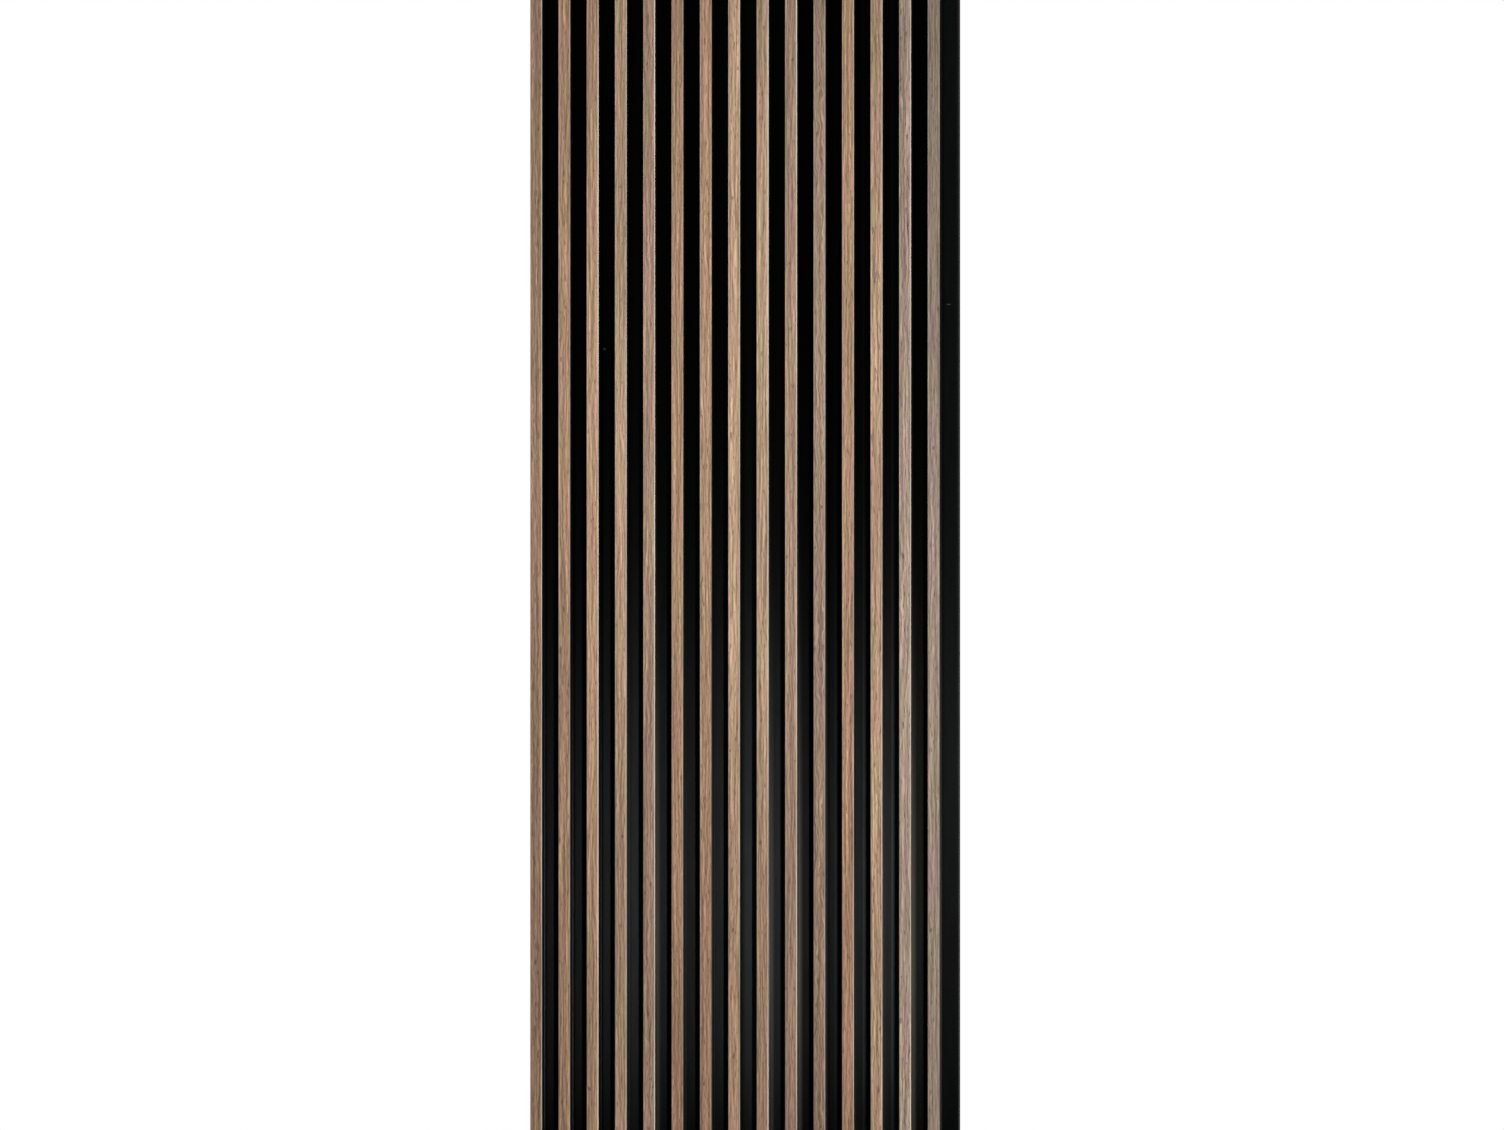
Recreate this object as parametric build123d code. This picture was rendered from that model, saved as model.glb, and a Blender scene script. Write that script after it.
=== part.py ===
from build123d import *
import os

# A wall panel of upright slats with wood faces on a felt sheet, in millimetres, upright as it is fixed.
# X runs across the panel, Z runs up it, and its front faces -Y. The back lies in the plane Y = 0,
# and the origin is the centre of that back face.

# Panel
PANEL_WIDTH = 600.0
PANEL_HEIGHT = 2400.0
FELT_THICKNESS = 9.0

# Slats. The first is flush with the left edge and a full gap is left at the right edge,
# so that the spacing carries on across neighbouring panels.
SLAT_COUNT = 15
SLAT_PITCH = PANEL_WIDTH / SLAT_COUNT
SLAT_WIDTH = 17.0
SLAT_DEPTH = 12.0
FACE_THICKNESS = 2.0
ARRIS_RADIUS = 1.6
CORE_DEPTH = SLAT_DEPTH - FACE_THICKNESS

# Staples of flat wire, driven from the back through the felt into each slat core.
# The crown lies along the slat, flush with the back.
STAPLE_ROWS = 5
STAPLE_END_DISTANCE = 60.0
STAPLE_CROWN = 10.0
STAPLE_LEG = 16.0
WIRE_WIDTH = 1.2
WIRE_THICKNESS = 0.9
BEND_CHAMFER = 0.45
POINT_SLANT = 1.2


def slat_centre(index):
    """X of a slat's middle."""
    return -PANEL_WIDTH / 2 + SLAT_WIDTH / 2 + index * SLAT_PITCH


def staple_row_height(row):
    """Z of a row of staples, the first and last rows at the end distance."""
    lowest = -PANEL_HEIGHT / 2 + STAPLE_END_DISTANCE
    return lowest - 2 * lowest * row / (STAPLE_ROWS - 1)


def full_height(section):
    """Runs a cross-section drawn in the XY plane over the whole height of the panel."""
    return extrude(Pos(0, 0, -PANEL_HEIGHT / 2) * section, PANEL_HEIGHT)


def cross_strip(centre_x, width, back_y, depth):
    """The cross-section of a flat strip, from its back face at back_y towards the front."""
    return Pos(centre_x, back_y - depth / 2) * Rectangle(width, depth)


def staple():
    """One staple at the origin: crown along Z with its outer face at Y = 0, legs towards -Y."""
    outer = STAPLE_CROWN / 2
    inner = outer - WIRE_THICKNESS
    half_outline = [
        (0, outer - BEND_CHAMFER),
        (-BEND_CHAMFER, outer),
        (-STAPLE_LEG, outer),
        (-STAPLE_LEG + POINT_SLANT, inner),
        (-WIRE_THICKNESS, inner),
    ]
    other_half = [(y, -z) for y, z in reversed(half_outline)]
    outline = Plane.YZ * Polygon(*half_outline, *other_half, align=None)
    return extrude(outline, WIRE_WIDTH / 2, both=True)


def staple_column(index):
    """The staples of one slat, from the lowest row to the highest."""
    one = staple()
    return [Pos(slat_centre(index), 0, staple_row_height(row)) * one for row in range(STAPLE_ROWS)]


def slat_core(index, own_staples):
    """A slat's core, with a slot for each staple leg in its back."""
    section = cross_strip(slat_centre(index), SLAT_WIDTH, -FELT_THICKNESS, CORE_DEPTH)
    return full_height(section) - own_staples


def slat_face(index):
    """A slat's thin wood face, its two long front arrises rounded."""
    back_y = -FELT_THICKNESS - CORE_DEPTH
    section = cross_strip(slat_centre(index), SLAT_WIDTH, back_y, FACE_THICKNESS)
    front_corners = section.vertices().group_by(Axis.Y)[0]
    return full_height(fillet(front_corners, ARRIS_RADIUS))


def felt_backing(all_staples):
    """The felt sheet behind the slats, cut where the staples pass through it."""
    section = cross_strip(0, PANEL_WIDTH, 0, FELT_THICKNESS)
    return full_height(section) - all_staples


def build():
    """Every sub-part by node name."""
    columns = [staple_column(index) for index in range(SLAT_COUNT)]
    all_staples = [one for column in columns for one in column]
    nodes = {"felt_backing": felt_backing(all_staples), "staples": Compound(all_staples)}
    for index, column in enumerate(columns):
        nodes[f"slat_core_{index + 1:02d}"] = slat_core(index, column)
        nodes[f"slat_face_{index + 1:02d}"] = slat_face(index)
    return nodes


os.makedirs("parts", exist_ok=True)
for node, shape in build().items():
    export_step(shape, f"parts/{node}.step")
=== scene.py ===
import math
from collections import namedtuple
from types import SimpleNamespace

import bmesh
import bpy
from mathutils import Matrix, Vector


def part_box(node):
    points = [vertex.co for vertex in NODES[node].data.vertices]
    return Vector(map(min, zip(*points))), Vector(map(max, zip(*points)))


# The looks of a wall panel of upright wood-faced slats on black felt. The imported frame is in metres,
# with its back in the plane Y = 0, its front towards -Y and +Z up the slats.

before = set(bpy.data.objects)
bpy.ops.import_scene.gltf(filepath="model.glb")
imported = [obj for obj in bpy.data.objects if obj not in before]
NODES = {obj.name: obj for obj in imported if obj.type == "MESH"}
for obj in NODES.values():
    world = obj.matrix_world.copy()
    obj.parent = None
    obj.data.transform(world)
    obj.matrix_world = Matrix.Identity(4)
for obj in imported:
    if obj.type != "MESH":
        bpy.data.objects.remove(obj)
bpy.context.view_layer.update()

MM = 0.001
SLAT_COUNT = 15

# Places read from the frame
FIRST_CORE_LOW, FIRST_CORE_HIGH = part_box("slat_core_01")
LAST_CORE_LOW, LAST_CORE_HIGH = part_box("slat_core_15")
FELT_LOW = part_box("felt_backing")[0]
FRONT_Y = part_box("slat_face_01")[0].y
SLAT_WIDTH = FIRST_CORE_HIGH.x - FIRST_CORE_LOW.x
SLAT_PITCH = (LAST_CORE_LOW.x - FIRST_CORE_LOW.x) / (SLAT_COUNT - 1)

# The photograph's width, and the left arrises of the first and the last slat in it, in its own pixels
PHOTO_WIDTH = 1504
PHOTO_FIRST_ARRIS = 529.1
PHOTO_LAST_ARRIS = 926.7

# The camera, level and this far round to the panel's right
VIEW_AZIMUTH = math.radians(16.3)
VIEW_DISTANCE = 20.0
SENSOR_WIDTH = 36.0

WHITE = (1, 1, 1)


# Nodes

def feed(tree, socket, value):
    """Links a socket to another, or sets it to a number, a vector or a colour."""
    if isinstance(value, bpy.types.NodeSocket):
        tree.links.new(value, socket)
    elif socket.type == "RGBA" and len(value) == 3:
        socket.default_value = (*value, 1)
    else:
        socket.default_value = value


def calculate(tree, operation, first, second=0.0):
    """The result of one operation on numbers."""
    node = tree.nodes.new("ShaderNodeMath")
    node.operation = operation
    feed(tree, node.inputs[0], first)
    feed(tree, node.inputs[1], second)
    return node.outputs[0]


def minus(tree, first, second):
    """The first number less the second."""
    return calculate(tree, "SUBTRACT", first, second)


def total(tree, *terms):
    """Several numbers added, in their order."""
    result = terms[0]
    for term in terms[1:]:
        result = calculate(tree, "ADD", result, term)
    return result


def product(tree, *factors):
    """Several numbers multiplied, in their order."""
    result = factors[0]
    for factor in factors[1:]:
        result = calculate(tree, "MULTIPLY", result, factor)
    return result


def remap(tree, value, low, high, to_low=0.0, to_high=1.0):
    """Takes low..high smoothly to to_low..to_high, and holds the ends."""
    node = tree.nodes.new("ShaderNodeMapRange")
    node.interpolation_type = "SMOOTHSTEP"
    node.inputs["From Min"].default_value = low
    node.inputs["From Max"].default_value = high
    for socket, given in (("Value", value), ("To Min", to_low), ("To Max", to_high)):
        feed(tree, node.inputs[socket], given)
    return node.outputs["Result"]


def remap_evenly(tree, value, low, high, to_low=0.0, to_high=1.0):
    """Takes low..high in a straight line to to_low..to_high, and holds the ends."""
    result = remap(tree, value, low, high, to_low, to_high)
    result.node.interpolation_type = "LINEAR"
    return result


def blend(tree, share, first, second):
    """Mixes two colours."""
    node = tree.nodes.new("ShaderNodeMix")
    node.data_type = "RGBA"
    feed(tree, node.inputs["Factor"], share)
    feed(tree, node.inputs["A"], first)
    feed(tree, node.inputs["B"], second)
    return node.outputs["Result"]


def scaled(tree, colour, factor):
    """A colour times a number."""
    node = tree.nodes.new("ShaderNodeVectorMath")
    node.operation = "SCALE"
    feed(tree, node.inputs[0], colour)
    feed(tree, node.inputs["Scale"], factor)
    return node.outputs[0]


def coordinates(tree):
    """The place on the object in metres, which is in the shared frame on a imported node."""
    return tree.nodes.new("ShaderNodeTexCoord").outputs["Object"]


def separate(tree, vector):
    """A vector's three numbers."""
    node = tree.nodes.new("ShaderNodeSeparateXYZ")
    feed(tree, node.inputs[0], vector)
    return node.outputs


def combine(tree, x, y, z):
    """The vector with these three numbers."""
    node = tree.nodes.new("ShaderNodeCombineXYZ")
    for socket, value in zip(node.inputs, (x, y, z)):
        feed(tree, socket, value)
    return node.outputs[0]


# How many cells each step of a seed moves a noise along the three axes
SEED_STEPS = (7.31, 3.17, 5.93)


def cells(tree, vector, size, seed, aside):
    """The place in units of a cell, whose size is in millimetres, moved by a seed and that far aside."""
    location = [seed * step for step in SEED_STEPS]
    location[0] += aside / size[0]
    node = tree.nodes.new("ShaderNodeMapping")
    feed(tree, node.inputs["Vector"], vector)
    node.inputs["Scale"].default_value = [1 / (side * MM) for side in size]
    node.inputs["Location"].default_value = location
    return node.outputs[0]


def noise(tree, vector, size, seed, detail=1.0, roughness=0.5, aside=0.0):
    """Smooth noise about 0.5, whose cells have that size in millimetres."""
    node = tree.nodes.new("ShaderNodeTexNoise")
    feed(tree, node.inputs["Vector"], cells(tree, vector, size, seed, aside))
    node.inputs["Scale"].default_value = 1.0
    node.inputs["Detail"].default_value = detail
    node.inputs["Roughness"].default_value = roughness
    return node.outputs["Fac"]


# The difference of two noises, scaled by this, swings about as far as one
LINE_CONTRAST = 0.7


def lines(tree, vector, size, seed, aside):
    """Noise about 0.5 in which a pale line runs that many millimetres beside each dark one."""
    beside = noise(tree, vector, size, seed, aside=aside)
    difference = minus(tree, noise(tree, vector, size, seed), beside)
    return total(tree, product(tree, difference, LINE_CONTRAST), 0.5)


def swing(tree, value, amount):
    """Noise about 0.5 as a factor about 1, that swings by about the amount."""
    return remap(tree, value, 0.25, 0.75, 1 - amount, 1 + amount)


def by_slat(tree, x, values):
    """One of the numbers, each held from its slat's left arris up to the next slat's."""
    node = tree.nodes.new("ShaderNodeValToRGB")
    ramp = node.color_ramp
    ramp.interpolation = "CONSTANT"
    while len(ramp.elements) < len(values):
        ramp.elements.new(1.0)
    top = max(values)
    for index, (element, value) in enumerate(zip(ramp.elements, values)):
        element.position = index / SLAT_COUNT
        element.color = (value / top, value / top, value / top, 1)
    across = SLAT_COUNT * SLAT_PITCH
    feed(tree, node.inputs["Fac"], remap_evenly(tree, x, FIRST_CORE_LOW.x, FIRST_CORE_LOW.x + across))
    return product(tree, node.outputs["Color"], top)


def bump(tree, height, distance):
    """The shading normal of a relief in which a height of 1 stands for that distance."""
    node = tree.nodes.new("ShaderNodeBump")
    feed(tree, node.inputs["Height"], height)
    node.inputs["Distance"].default_value = distance
    return node.outputs["Normal"]


def empty_material(name):
    """A material without nodes, and its tree."""
    material = bpy.data.materials.new(name)
    material.use_nodes = True
    material.node_tree.nodes.clear()
    return material, material.node_tree


def new_material(name, specular):
    """A Principled material, with its tree and its shader."""
    material, tree = empty_material(name)
    shader = tree.nodes.new("ShaderNodeBsdfPrincipled")
    output = tree.nodes.new("ShaderNodeOutputMaterial")
    tree.links.new(shader.outputs["BSDF"], output.inputs["Surface"])
    shader.inputs["Specular IOR Level"].default_value = specular
    return material, tree, shader


# Wood

WOOD_TONES = {
    "umber": (0.256, 0.161, 0.102),
    "tan": (0.350, 0.219, 0.136),
    "honey": (0.388, 0.247, 0.157),
    "pale": (0.420, 0.286, 0.190),
    "olive": (0.372, 0.258, 0.168),
    "rose": (0.322, 0.213, 0.150),
    "taupe": (0.300, 0.212, 0.152),
    "ash": (0.358, 0.270, 0.212),
}

Slat = namedtuple("Slat", "tone lightness lighter_low redder_low wavy pale_arris pale_flank")

# The slats from the left: each one's tone and lightness, how much lighter and how much redder it gets
# downwards, how wavy its grain is, and how strong the painted highlight on its right arris and the painted
# sheen on its right flank are
SLATS = (
    Slat("umber", 0.95, 0.00, 0.2, 0.4, 0.7, 0.00),
    Slat("tan", 0.98, 0.08, 0.1, 0.2, 0.3, 0.00),
    Slat("honey", 0.97, 0.05, 0.0, 0.0, 1.0, 0.00),
    Slat("olive", 0.98, 0.05, 0.0, 0.2, 0.7, 0.30),
    Slat("rose", 0.96, 0.05, 0.0, 0.4, 0.9, 0.70),
    Slat("tan", 0.91, 0.00, 0.4, 0.0, 0.3, 0.15),
    Slat("honey", 1.00, -0.08, 0.5, 0.0, 0.2, 0.15),
    Slat("pale", 1.04, -0.03, 0.4, 0.0, 0.5, 0.00),
    Slat("olive", 1.08, 0.00, 0.5, 0.2, 1.0, 1.00),
    Slat("rose", 1.03, -0.06, 0.3, 0.0, 1.0, 1.00),
    Slat("taupe", 0.94, -0.03, 0.6, 0.8, 0.4, 0.25),
    Slat("tan", 1.03, -0.12, 0.5, 0.0, 0.7, 0.20),
    Slat("pale", 0.97, 0.05, 0.1, 0.2, 0.7, 0.30),
    Slat("ash", 1.01, 0.10, 0.0, 0.4, 0.8, 0.85),
    Slat("ash", 0.78, 0.10, 0.0, 0.2, 0.4, 0.28),
)

# Factors on a tone's red, green and blue
PINKER = (1.085, 0.95, 1.05)
GREENER = (0.945, 1.03, 0.86)
REDDER = (1.12, 0.94, 0.89)
BROWNER = (0.80, 0.66, 0.56)

# The share of brown in a brown mark, and how light a pore and a fleck leave the wood
BROWN_SHARE = 0.6
PORE_TONE = 0.50
FLECK_TONE = 1.35

# The levels of noise from which a mark begins and at which it is full
BROWN_LEVELS = (0.56, 0.72)
PORE_LEVELS = (0.68, 0.74)
FLECK_LEVELS = (0.74, 0.80)

# How far the grain bends aside, and how far it ripples on a fully wavy slat
WANDER = 1.6 * MM
RIPPLE = 2.4 * MM

# Heights from the panel's middle: about what the photograph shows, and over which the redder tone and the
# painted shade that reaches further round the arrises fade upwards
SEEN_HEIGHTS = (-0.75, 0.75)
REDDER_HEIGHTS = (-0.70, 0.10)
SHADE_REACH_HEIGHTS = (-0.25, 0.35)

# The wood's edges. A painted shade, as black as the slat's sides, reaches this much further round the
# arrises low down, and a right arris with a painted highlight keeps most of that away.
BLACK_EDGE = (0.012, 0.012, 0.012)
# The colour of the painted highlight on a right arris
ARRIS_HIGHLIGHT_COLOUR = (0.70, 0.61, 0.51)
LOW_SHADE_REACH = 0.35 * MM
HIGHLIGHT_SHARE = 0.75

# Where those edges fade, from the arris inwards
LEFT_BLACK = (0.3 * MM, 0.7 * MM)
LEFT_SHADE = (0.4 * MM, 2.0 * MM)
LEFT_SHADE_TONE = 0.75
RIGHT_BLACK = 0.35 * MM
RIGHT_BLACK_FADE = 0.3 * MM
RIGHT_HIGHLIGHT = (0.9 * MM, 1.7 * MM)

WOOD_ROUGHNESS = (0.42, 0.60)

# How much the fine grain and the streaks add to the wood's relief and the pores take from it, as shares
# of its height
FINE_HEIGHT = 0.6
STREAK_HEIGHT = 0.5
PORE_DEPTH = 0.8
WOOD_RELIEF = 0.05 * MM


def tinted(tone, factors):
    """A tone with each of its channels scaled."""
    return tuple(channel * factor for channel, factor in zip(tone, factors))


def wood_layers(tree, seed, wavy):
    """The place across and up, and the noises that one slat's wood is made of."""
    place = coordinates(tree)
    x, y, z = separate(tree, place)
    wander = noise(tree, place, (14, 14, 260), seed)
    ripple = noise(tree, place, (9, 9, 24), seed + 20)
    aside = total(
        tree,
        remap(tree, wander, 0.2, 0.8, -WANDER, WANDER),
        remap(tree, ripple, 0.2, 0.8, -RIPPLE * wavy, RIPPLE * wavy),
    )
    grain = combine(tree, total(tree, x, aside), y, z)
    return SimpleNamespace(
        x=x,
        z=z,
        drift=noise(tree, grain, (5, 5, 110), seed + 40, detail=3.0, roughness=0.65),
        band=noise(tree, grain, (3.2, 3.2, 300), seed + 80),
        streak=lines(tree, grain, (1.9, 1.9, 80), seed + 120, aside=2.6),
        brown=noise(tree, grain, (1.6, 1.6, 32), seed + 160, detail=0.0),
        fine=lines(tree, grain, (1.4, 1.4, 22), seed + 200, aside=2.4),
        pore=noise(tree, grain, (1.2, 1.2, 11), seed + 240, detail=0.0),
        fleck=noise(tree, place, (1.1, 1.1, 3), seed + 280, detail=0.0),
        cloud=noise(tree, place, (30, 30, 330), seed + 320),
    )


def wood_colour(tree, wood, pores, slat):
    """The colour of the wood itself, without its edges."""
    base = tinted(WOOD_TONES[slat.tone], [slat.lightness] * 3)
    pinkness = remap(tree, wood.drift, 0.35, 0.65)
    redness = remap(tree, wood.z, *REDDER_HEIGHTS, slat.redder_low, 0.0)
    brownness = product(tree, remap(tree, wood.brown, *BROWN_LEVELS), BROWN_SHARE)
    colour = blend(tree, pinkness, tinted(base, GREENER), tinted(base, PINKER))
    colour = blend(tree, redness, colour, tinted(base, REDDER))
    colour = blend(tree, brownness, colour, tinted(base, BROWNER))
    lightness = product(
        tree,
        remap_evenly(tree, wood.z, *SEEN_HEIGHTS, 1 + slat.lighter_low, 1 - slat.lighter_low),
        swing(tree, wood.cloud, 0.10),
        swing(tree, wood.band, 0.20),
        swing(tree, wood.streak, 0.32),
        swing(tree, wood.fine, 0.26),
        remap(tree, pores, 0.0, 1.0, 1.0, PORE_TONE),
        remap(tree, remap(tree, wood.fleck, *FLECK_LEVELS), 0.0, 1.0, 1.0, FLECK_TONE),
    )
    return scaled(tree, colour, lightness)


def with_edges(tree, colour, wood, index, pale_arris):
    """The colour with both arrises black and a painted shade reaching further round them low down, a
    painted shade inside the left arris and a painted highlight inside the right one.
    """
    left_arris = FIRST_CORE_LOW.x + index * SLAT_PITCH
    # Painted shade: the black reaches further round both arrises low down
    reach = remap(tree, wood.z, *SHADE_REACH_HEIGHTS, LOW_SHADE_REACH, 0.0)
    right_reach = product(tree, reach, 1 - HIGHLIGHT_SHARE * pale_arris)
    from_left = minus(tree, minus(tree, wood.x, left_arris), reach)
    from_right = minus(tree, minus(tree, left_arris + SLAT_WIDTH, wood.x), right_reach)

    # Painted shade inside the left arris
    colour = scaled(tree, colour, remap(tree, from_left, *LEFT_SHADE, LEFT_SHADE_TONE, 1.0))
    # Painted highlight inside the right arris, patchy along it
    highlight_patches = remap(tree, wood.cloud, 0.3, 0.7, 0.3, 1.0)
    highlight = product(tree, remap(tree, from_right, *RIGHT_HIGHLIGHT, 1.0, 0.0), highlight_patches, pale_arris)
    colour = blend(tree, highlight, colour, ARRIS_HIGHLIGHT_COLOUR)

    right_black = RIGHT_BLACK * (1 - pale_arris)
    black_left = remap(tree, from_left, *LEFT_BLACK, 1.0, 0.0)
    black_right = remap(tree, from_right, right_black, right_black + RIGHT_BLACK_FADE, 1.0, 0.0)
    return blend(tree, calculate(tree, "MAXIMUM", black_left, black_right), colour, BLACK_EDGE)


def wood_material(index, slat):
    """Satin wood with drifting hue, long streaks, fine grain and short dark pores."""
    material, tree, shader = new_material(f"wood_{index + 1:02d}", specular=0.3)
    wood = wood_layers(tree, index + 1, slat.wavy)
    pores = remap(tree, wood.pore, *PORE_LEVELS)
    colour = wood_colour(tree, wood, pores, slat)
    feed(tree, shader.inputs["Base Color"], with_edges(tree, colour, wood, index, slat.pale_arris))
    feed(tree, shader.inputs["Roughness"], remap(tree, wood.streak, 0.2, 0.8, *WOOD_ROUGHNESS))
    ridges = total(tree, product(tree, wood.fine, FINE_HEIGHT), product(tree, wood.streak, STREAK_HEIGHT))
    relief = minus(tree, ridges, product(tree, pores, PORE_DEPTH))
    feed(tree, shader.inputs["Normal"], bump(tree, relief, WOOD_RELIEF))
    return material


# Cores

CORE_BLACK = (0.004, 0.004, 0.004)
# The colour of the painted sheen on a flank
CORE_SHEEN = (0.120, 0.107, 0.092)
CORE_ROUGHNESS = 0.8
CORE_RELIEF = 0.08 * MM

# Heights from the panel's middle over which the painted sheen thins out upwards and, near the bottom,
# downwards
SHEEN_UP = (-0.65, 0.40)
SHEEN_DOWN = (-0.75, -0.55)

# The share of the painted sheen that is left high up, at the bottom and beside the felt
SHEEN_HIGH_UP = 0.10
SHEEN_AT_BOTTOM = 0.7
SHEEN_AT_FELT = 0.5


def core_material(index, pale_flank):
    """Black-dyed fibreboard, with a painted sheen beside the wood face, most in its lower half."""
    material, tree, shader = new_material(f"black_core_{index + 1:02d}", specular=0.06)
    place = coordinates(tree)
    x, y, z = separate(tree, place)
    fibre = noise(tree, place, (0.5, 0.5, 2.4), index + 3, detail=3.0, roughness=0.6)
    cloud = noise(tree, place, (14, 14, 180), index + 53, detail=2.0)
    # Painted sheen: paler towards the wood face, most in the lower half where the low light falls on the
    # flanks
    front = product(tree, remap(tree, y, FIRST_CORE_LOW.y, FELT_LOW.y, 1.0, SHEEN_AT_FELT), pale_flank)
    not_high = remap(tree, z, *SHEEN_UP, 1.0, SHEEN_HIGH_UP)
    not_lowest = remap(tree, z, *SHEEN_DOWN, SHEEN_AT_BOTTOM, 1.0)
    patchy = remap(tree, cloud, 0.3, 0.7, 0.6, 1.0)
    sheen_share = product(tree, front, patchy, product(tree, not_high, not_lowest))
    colour = blend(tree, sheen_share, CORE_BLACK, CORE_SHEEN)
    feed(tree, shader.inputs["Base Color"], scaled(tree, colour, swing(tree, fibre, 0.3)))
    shader.inputs["Roughness"].default_value = CORE_ROUGHNESS
    feed(tree, shader.inputs["Normal"], bump(tree, fibre, CORE_RELIEF))
    return material


# Felt

# The felt's two tints, and the colours of its pale hairs, of the painted light beside a slat's foot and of
# the painted highlight along that foot
FELT_GREEN = (0.0158, 0.0160, 0.0145)
FELT_BLUE = (0.0145, 0.0165, 0.0172)
FELT_HAIR = (0.04, 0.04, 0.04)
FELT_FOOT_LIGHT = (0.075, 0.068, 0.058)
FELT_FOOT_HIGHLIGHT = (0.120, 0.120, 0.120)
FELT_ROUGHNESS = 1.0
FELT_RELIEF = 0.15 * MM

# How much of a hair's colour shows, and how high it stands as a share of the relief
HAIR_SHARE = 0.4
HAIR_HEIGHT = 0.4

Gap = namedtuple("Gap", "tone pale_line dark_foot pale_rim")

# The felt in the gap on each slat's right: its tone, which stands in for a sheen that differs from gap to
# gap, how strong the painted highlight along the slat's foot is, how dark the painted shade beside that
# highlight is, and how pale the line at the rim of the next slat's shadow is
GAPS = (
    Gap(0.74, 1.0, 0.85, 0.0),
    Gap(0.78, 1.0, 0.95, 0.0),
    Gap(1.06, 0.6, 0.97, 0.0),
    Gap(1.50, 0.4, 0.40, 0.0),
    Gap(1.00, 0.6, 0.00, 0.0),
    Gap(0.95, 0.4, 0.10, 0.0),
    Gap(1.15, 0.2, 0.15, 0.1),
    Gap(1.70, 0.0, 0.50, 0.0),
    Gap(1.25, 0.0, 0.00, 0.1),
    Gap(0.75, 0.8, 0.00, 0.0),
    Gap(0.80, 0.0, 0.50, 0.5),
    Gap(1.20, 0.0, 0.00, 0.7),
    Gap(1.55, 0.0, 0.00, 0.8),
    Gap(0.90, 0.0, 0.00, 0.0),
    Gap(0.72, 0.0, 0.45, 0.0),
)

# Where the painted highlight along a slat's foot, and the painted light and shade beside it, fade away
# from the slat on their left
FOOT_HIGHLIGHT_FADE = (0.3 * MM, 1.0 * MM)
FOOT_FADE = (0.5 * MM, 6.0 * MM)

# How far from the same slat the rim of the shadow is, where its line fades to both sides of that, and how
# much lighter than the felt a full one is
SHADOW_RIM = 10.4 * MM
RIM_FADE = (0.4 * MM, 1.9 * MM)
RIM_GAIN = 1.1

# Where the front's own tones fade into the felt, and where the margin's tone begins under the last slat
FRONT_FADE = (FELT_LOW.y + 0.5 * MM, FELT_LOW.y + 1.5 * MM)
MARGIN_FADE = (LAST_CORE_HIGH.x - 1 * MM, LAST_CORE_HIGH.x)

# Heights from the panel's middle over which the painted light and shade low down end, and over which the
# painted shade at the bottom fades
LOW_LIGHT_HEIGHTS = (-0.75, 0.15)
BOTTOM_HEIGHTS = (-0.82, -0.64)

# The margin's tone where the painted light low down has ended and where it is full, the second a painted
# shade, and the tone of the painted shade at the bottom
MARGIN_TONES = (1.1, 0.40)
BOTTOM_SHADE_TONE = 0.55

Lint = namedtuple("Lint", "across up half_width half_height tone")

# Bits of lint caught on the felt, and their tint
LINT = (
    Lint(-198.0 * MM, 293.0 * MM, 2.2 * MM, 2.4 * MM, 0.30),
    Lint(286.5 * MM, 351.0 * MM, 4.5 * MM, 0.9 * MM, 0.13),
)
LINT_TINT = (1.0, 0.97, 0.92)


def felt_lightness(tree, x, z, from_slat, beside, low_down):
    """How light the felt's front is: a painted sheen in each gap, painted shade beside each slat's foot
    and a pale line at the rim of the next slat's shadow across it, and painted shade in the right margin
    low down and at the bottom.
    """
    # The gap's own tone stands in for a sheen that differs from gap to gap
    own = by_slat(tree, x, [gap.tone for gap in GAPS])
    dark_foot = by_slat(tree, x, [gap.dark_foot for gap in GAPS])
    pale_rim = by_slat(tree, x, [gap.pale_rim for gap in GAPS])
    # Painted shade on the felt beside the slat's foot
    foot = minus(tree, 1.0, product(tree, beside, dark_foot))
    from_rim = calculate(tree, "ABSOLUTE", minus(tree, from_slat, SHADOW_RIM))
    rim = total(tree, 1.0, product(tree, remap(tree, from_rim, *RIM_FADE, RIM_GAIN, 0.0), pale_rim))
    # Painted shade: the right margin darker low down under the low light, and the felt darker at the
    # bottom
    in_margin = remap(tree, x, *MARGIN_FADE)
    margin = remap(tree, in_margin, 0.0, 1.0, 1.0, remap(tree, low_down, 0.0, 1.0, *MARGIN_TONES))
    bottom = remap(tree, z, *BOTTOM_HEIGHTS, BOTTOM_SHADE_TONE, 1.0)
    return product(tree, own, foot, rim, margin, bottom)


def with_lint(tree, colour, x, z, front):
    """The felt's colour with the bits of lint."""
    for bit in LINT:
        side = calculate(tree, "DIVIDE", minus(tree, x, bit.across), bit.half_width)
        rise = calculate(tree, "DIVIDE", minus(tree, z, bit.up), bit.half_height)
        spread = total(tree, product(tree, side, side), product(tree, rise, rise))
        share = product(tree, remap(tree, spread, 0.2, 1.0, 1.0, 0.0), front)
        colour = blend(tree, share, colour, tinted([bit.tone] * 3, LINT_TINT))
    return colour


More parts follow.
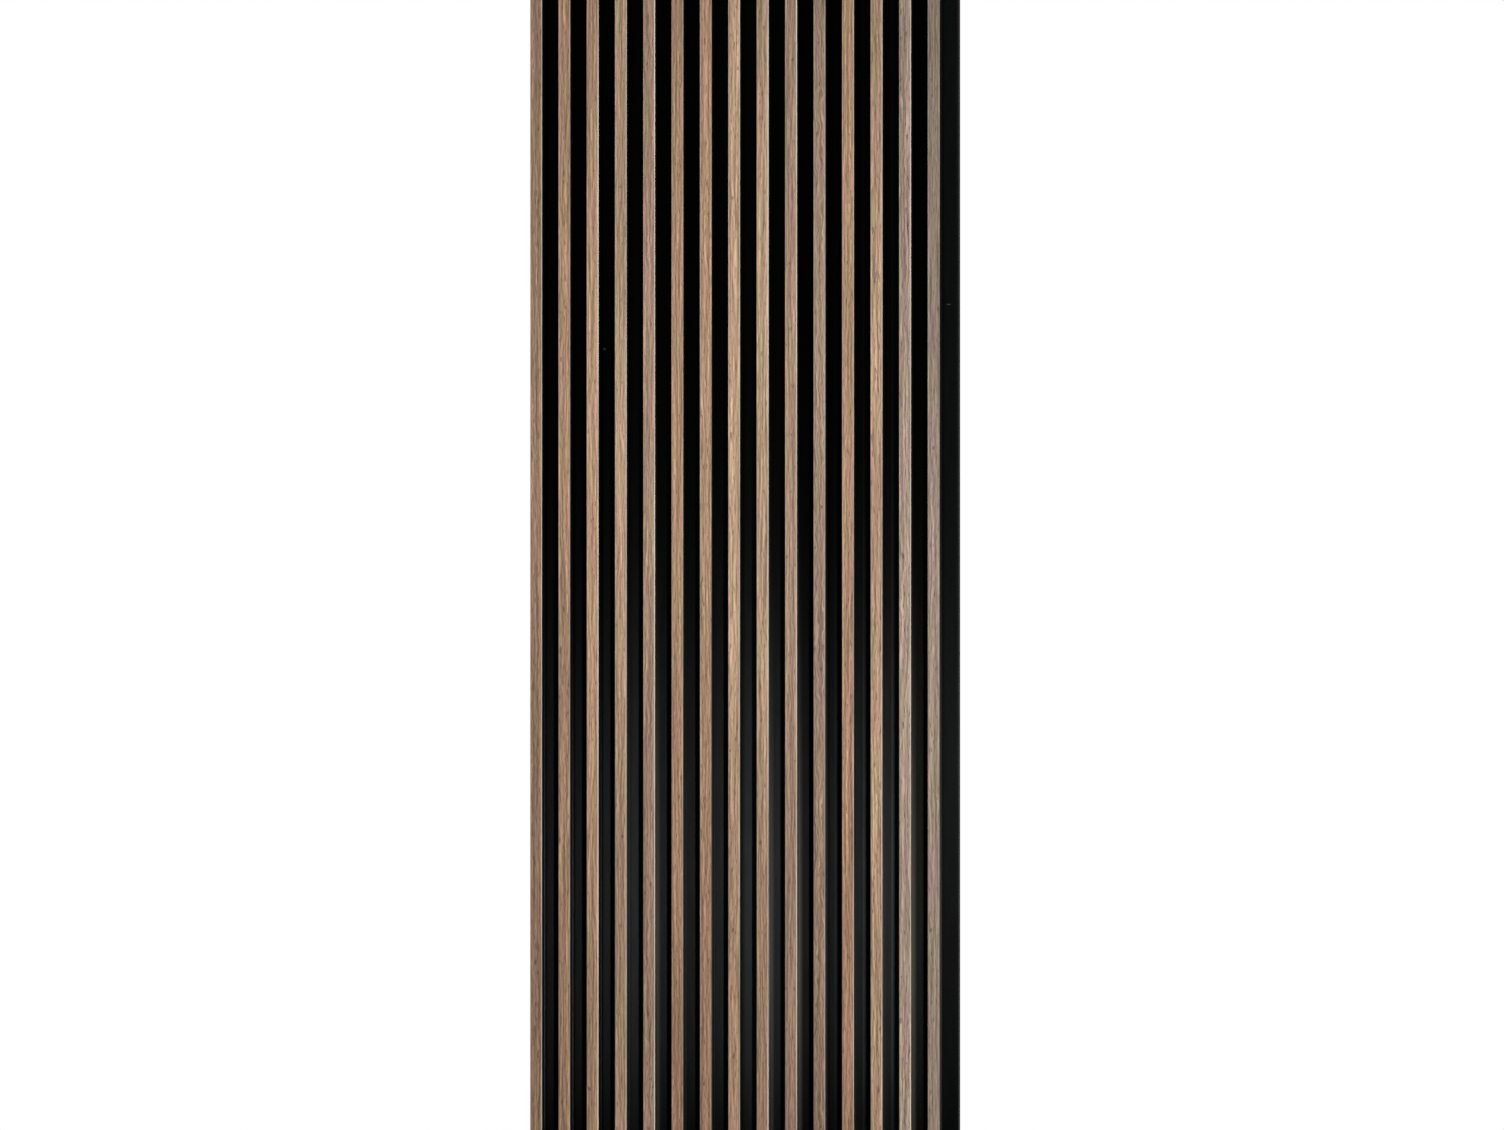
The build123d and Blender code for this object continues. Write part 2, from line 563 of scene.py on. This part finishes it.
def felt_material():
    """Pressed black polyester felt: fine tangled fibres, a few paler, with a painted sheen that differs
    from gap to gap, and painted light and shade low down.
    """
    material, tree, shader = new_material("black_felt", specular=0.02)
    place = coordinates(tree)
    x, y, z = separate(tree, place)
    tangle = noise(tree, place, (0.6, 0.6, 0.6), 11, detail=4.0, roughness=0.65)
    mat = noise(tree, place, (7, 7, 60), 13, detail=2.0)
    tint = noise(tree, place, (40, 40, 700), 17)
    hairs = remap(tree, noise(tree, place, (0.25, 0.6, 3.0), 19), 0.72, 0.82)

    # What differs from gap to gap is on the front face only
    front = remap(tree, y, *FRONT_FADE, 1.0, 0.0)
    low_down = remap(tree, z, *LOW_LIGHT_HEIGHTS, 1.0, 0.0)
    from_slat = calculate(tree, "MODULO", minus(tree, x, FIRST_CORE_HIGH.x), SLAT_PITCH)
    beside = remap(tree, from_slat, *FOOT_FADE, 1.0, 0.0)
    # Painted light on the felt beside a slat's foot, as strong as the painted sheen on its flank
    foot_light = remap(tree, by_slat(tree, x, [slat.pale_flank for slat in SLATS]), 0.2, 1.0)
    # Painted highlight along the slat's foot
    pale_line = by_slat(tree, x, [gap.pale_line for gap in GAPS])
    line = remap(tree, from_slat, *FOOT_HIGHLIGHT_FADE, 1.0, 0.0)
    front_tone = felt_lightness(tree, x, z, from_slat, beside, low_down)

    lightness = product(
        tree,
        swing(tree, tangle, 0.3),
        swing(tree, mat, 0.10),
        remap_evenly(tree, front, 0.0, 1.0, 1.0, front_tone),
    )
    colour = blend(tree, remap(tree, tint, 0.35, 0.65), FELT_GREEN, FELT_BLUE)
    colour = scaled(tree, colour, lightness)
    colour = blend(tree, product(tree, hairs, HAIR_SHARE), colour, FELT_HAIR)
    # Painted light beside the foot, then the painted highlight along it, both low down
    colour = blend(tree, product(tree, beside, foot_light, low_down, front), colour, FELT_FOOT_LIGHT)
    colour = blend(tree, product(tree, line, pale_line, low_down, front), colour, FELT_FOOT_HIGHLIGHT)
    feed(tree, shader.inputs["Base Color"], with_lint(tree, colour, x, z, front))
    shader.inputs["Roughness"].default_value = FELT_ROUGHNESS
    relief = total(tree, tangle, product(tree, hairs, HAIR_HEIGHT))
    feed(tree, shader.inputs["Normal"], bump(tree, relief, FELT_RELIEF))
    return material


# Staples

STEEL = (0.50, 0.50, 0.51)
STEEL_ROUGHNESS = (0.28, 0.45)


def steel_material():
    """Bright zinc-plated staple wire with fine drawn lines."""
    material, tree, shader = new_material("staple_steel", specular=0.5)
    place = coordinates(tree)
    drawn = noise(tree, place, (0.12, 0.3, 6), 23, detail=2.0)
    stain = noise(tree, place, (2, 2, 3), 29, detail=2.0)
    lightness = product(tree, swing(tree, drawn, 0.15), swing(tree, stain, 0.15))
    feed(tree, shader.inputs["Base Color"], scaled(tree, STEEL, lightness))
    feed(tree, shader.inputs["Roughness"], remap(tree, stain, 0.3, 0.7, *STEEL_ROUGHNESS))
    shader.inputs["Metallic"].default_value = 1.0
    return material


# Pieces

def finish_node(name, material):
    """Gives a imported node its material."""
    data = NODES[name].data
    data.materials.clear()
    data.materials.append(material)


def dress():
    """Gives every piece its finish."""
    for index, slat in enumerate(SLATS):
        finish_node(f"slat_face_{index + 1:02d}", wood_material(index, slat))
        finish_node(f"slat_core_{index + 1:02d}", core_material(index, slat.pale_flank))
    finish_node("felt_backing", felt_material())
    finish_node("staples", steel_material())


# Camera

def place_camera():
    """Sets the photograph's view, level and from the panel's right, through a long lens."""
    right = Vector((math.cos(VIEW_AZIMUTH), math.sin(VIEW_AZIMUTH), 0))
    towards = Vector((math.sin(VIEW_AZIMUTH), -math.cos(VIEW_AZIMUTH), 0))
    arris_span = (SLAT_COUNT - 1) * SLAT_PITCH
    scale = (PHOTO_LAST_ARRIS - PHOTO_FIRST_ARRIS) / arris_span / math.cos(VIEW_AZIMUTH)
    arris_middle = Vector((FIRST_CORE_LOW.x + arris_span / 2, FRONT_Y, 0))
    off_centre = PHOTO_WIDTH / 2 - (PHOTO_FIRST_ARRIS + PHOTO_LAST_ARRIS) / 2
    aim = arris_middle + right * off_centre / scale
    data = bpy.data.cameras.new("camera")
    data.sensor_width = SENSOR_WIDTH
    data.lens = SENSOR_WIDTH * VIEW_DISTANCE * scale / PHOTO_WIDTH
    data.clip_end = 10 * VIEW_DISTANCE
    camera = bpy.data.objects.new("camera", data)
    camera.location = aim + towards * VIEW_DISTANCE
    camera.rotation_euler = (-towards).to_track_quat("-Z", "Y").to_euler()
    bpy.context.scene.collection.objects.link(camera)
    bpy.context.scene.camera = camera


# Lights

# Azimuths of the lights in degrees, 0 straight in front of the panel and 90 on its right
KEY_AZIMUTH = -63
WASH_AZIMUTH = 78
LOW_AZIMUTH = 41
GLOW_AZIMUTH = 62

# The three beams that together light the black parts low down: each one's name, level and reach
LOW_BEAMS = (("low_narrow", 0.76, 0.40), ("low_middle", 0.39, 0.74), ("low_wide", 0.07, 1.40))

SUN_DISTANCE = 5.0


def direction(azimuth, elevation):
    """Unit vector from the panel towards a place at these angles in degrees."""
    turn = math.radians(azimuth)
    rise = math.radians(elevation)
    return Vector((math.sin(turn) * math.cos(rise), -math.cos(turn) * math.cos(rise), math.sin(rise)))


def slant(azimuth):
    """The share of a level light from that azimuth that the panel's front catches."""
    return math.cos(math.radians(azimuth))


def add_light(name, data, location, aim):
    """Places a light and turns it to its aim. The camera doesn't see it."""
    light = bpy.data.objects.new(name, data)
    light.location = location
    light.rotation_euler = (Vector(location) - Vector(aim)).to_track_quat("Z", "Y").to_euler()
    light.visible_camera = False
    bpy.context.scene.collection.objects.link(light)
    return light


def sun(name, azimuth, elevation, level, softness):
    """A far light. A level of 1 renders a colour that faces it as written."""
    data = bpy.data.lights.new(name, "SUN")
    data.energy = math.pi * level
    data.angle = math.radians(softness)
    return add_light(name, data, direction(azimuth, elevation) * SUN_DISTANCE, (0, 0, 0))


def spot(name, azimuth, elevation, distance, aim, level, reach, size, width=1.0):
    """A spot that has a sun's level at its aim. Its beam is reach metres high at half strength and width
    times as wide, and fades to its rim."""
    data = bpy.data.lights.new(name, "SPOT")
    data.energy = 4 * math.pi ** 2 * distance ** 2 * level
    data.spot_size = 2 * math.atan(reach / math.sqrt(2) / distance)
    data.spot_blend = 1.0
    data.shadow_soft_size = size
    light = add_light(name, data, Vector(aim) + direction(azimuth, elevation) * distance, aim)
    light.scale.x = width
    return light


def parts_named(name, *beginnings):
    """A collection of the nodes whose names begin so, as what a light falls on."""
    parts = bpy.data.collections.new(name)
    for node in NODES:
        if node.startswith(beginnings):
            parts.objects.link(NODES[node])
    return parts


def light_fronts():
    """The light on the whole panel: a key with a spot from the far left, and a wash from the far right."""
    key_slant = slant(KEY_AZIMUTH)
    wash_slant = slant(WASH_AZIMUTH)
    sun("key", KEY_AZIMUTH, elevation=12, level=0.43 / key_slant, softness=8)
    spot(
        "key_spot",
        KEY_AZIMUTH,
        elevation=8,
        distance=8.0,
        aim=(0, 0, 0.16),
        level=0.395 / key_slant,
        reach=1.10,
        size=0.4,
    )
    sun("wash", WASH_AZIMUTH, elevation=6, level=0.10 / wash_slant, softness=5)
    front_wash = sun("front_wash", WASH_AZIMUTH, elevation=6, level=0.16 / wash_slant, softness=5)
    front_wash.light_linking.receiver_collection = parts_named("fronts", "slat_face", "felt")


def light_low_down():
    """The light on the panel's lower half: on its black parts, and a narrow glow on the right margin."""
    blacks = parts_named("blacks", "slat_core", "felt")
    for name, level, reach in LOW_BEAMS:
        beam = spot(
            name,
            LOW_AZIMUTH,
            elevation=0,
            distance=12.0,
            aim=(0, 0, -0.43),
            level=level,
            reach=reach,
            size=0.24,
            width=1.7,
        )
        beam.light_linking.receiver_collection = blacks
    spot(
        "low_right",
        GLOW_AZIMUTH,
        elevation=0,
        distance=6.0,
        aim=(0.29, 0, -0.60),
        level=0.36 / slant(GLOW_AZIMUTH),
        reach=0.85,
        size=0.10,
        width=0.10,
    )


def place_lights():
    """All lights, with a soft fill for the views from behind."""
    light_fronts()
    light_low_down()
    sun("back_fill", azimuth=160, elevation=35, level=0.7, softness=40)


# Surroundings

# How strongly the surroundings light the object, and the floor's colour as seen and as a reflector
WORLD_LIGHT = 0.04
FLOOR_PALE = (0.80, 0.79, 0.78)
FLOOR_DARK = (0.06, 0.06, 0.06)
FLOOR_RADIUS = 7.0
FLOOR_SEGMENTS = 96

# The share of plain white in the floor near its middle, and how far from there it begins to grow
FLOOR_WHITE = 0.55
FLOOR_WHITE_FROM = 0.5


def shows_background(tree):
    """1 for rays from the camera, from gloss and through glass, else 0."""
    path = tree.nodes.new("ShaderNodeLightPath")
    share = calculate(tree, "MAXIMUM", path.outputs["Is Camera Ray"], path.outputs["Is Glossy Ray"])
    return calculate(tree, "MAXIMUM", share, path.outputs["Is Transmission Ray"])


def plain_shader(tree, kind, colour, strength=None):
    """A shader of that kind, with its colour and, for one that shines, its strength."""
    node = tree.nodes.new(kind)
    feed(tree, node.inputs["Color"], colour)
    if strength is not None:
        node.inputs["Strength"].default_value = strength
    return node.outputs[0]


def blend_shaders(tree, share, first, second):
    """Mixes two shaders."""
    node = tree.nodes.new("ShaderNodeMixShader")
    for socket, given in zip(node.inputs, (share, first, second)):
        tree.links.new(given, socket)
    return node.outputs[0]


def make_world():
    """White behind the object, and a dim even light on it."""
    world = bpy.data.worlds.new("studio")
    bpy.context.scene.world = world
    world.use_nodes = True
    tree = world.node_tree
    tree.nodes.clear()
    dim = plain_shader(tree, "ShaderNodeBackground", WHITE, WORLD_LIGHT)
    white = plain_shader(tree, "ShaderNodeBackground", WHITE, 1.0)
    output = tree.nodes.new("ShaderNodeOutputWorld")
    tree.links.new(blend_shaders(tree, shows_background(tree), dim, white), output.inputs["Surface"])


def floor_material():
    """Pale floor that keeps the shadow near the panel and turns white towards its rim."""
    material, tree = empty_material("floor")
    place = coordinates(tree)
    distance = tree.nodes.new("ShaderNodeVectorMath")
    distance.operation = "LENGTH"
    feed(tree, distance.inputs[0], place)
    whiteness = remap(tree, distance.outputs["Value"], FLOOR_WHITE_FROM, FLOOR_RADIUS, FLOOR_WHITE, 1.0)
    grain = noise(tree, place, (20, 20, 20), 31, detail=3.0)
    pale = plain_shader(tree, "ShaderNodeBsdfDiffuse", scaled(tree, FLOOR_PALE, swing(tree, grain, 0.02)))
    white = plain_shader(tree, "ShaderNodeEmission", WHITE, 1.0)
    dark = plain_shader(tree, "ShaderNodeBsdfDiffuse", FLOOR_DARK)
    seen = blend_shaders(tree, whiteness, pale, white)
    output = tree.nodes.new("ShaderNodeOutputMaterial")
    tree.links.new(blend_shaders(tree, shows_background(tree), dark, seen), output.inputs["Surface"])
    return material


def make_floor():
    """A round pale floor under the panel's bottom edge."""
    mesh = bpy.data.meshes.new("floor")
    build = bmesh.new()
    bmesh.ops.create_circle(build, cap_ends=True, segments=FLOOR_SEGMENTS, radius=FLOOR_RADIUS)
    build.to_mesh(mesh)
    build.free()
    mesh.materials.append(floor_material())
    floor = bpy.data.objects.new("floor", mesh)
    floor.location.z = FELT_LOW.z
    bpy.context.scene.collection.objects.link(floor)


dress()
place_camera()
place_lights()
make_world()
make_floor()
bpy.context.scene.view_settings.view_transform = "Standard"
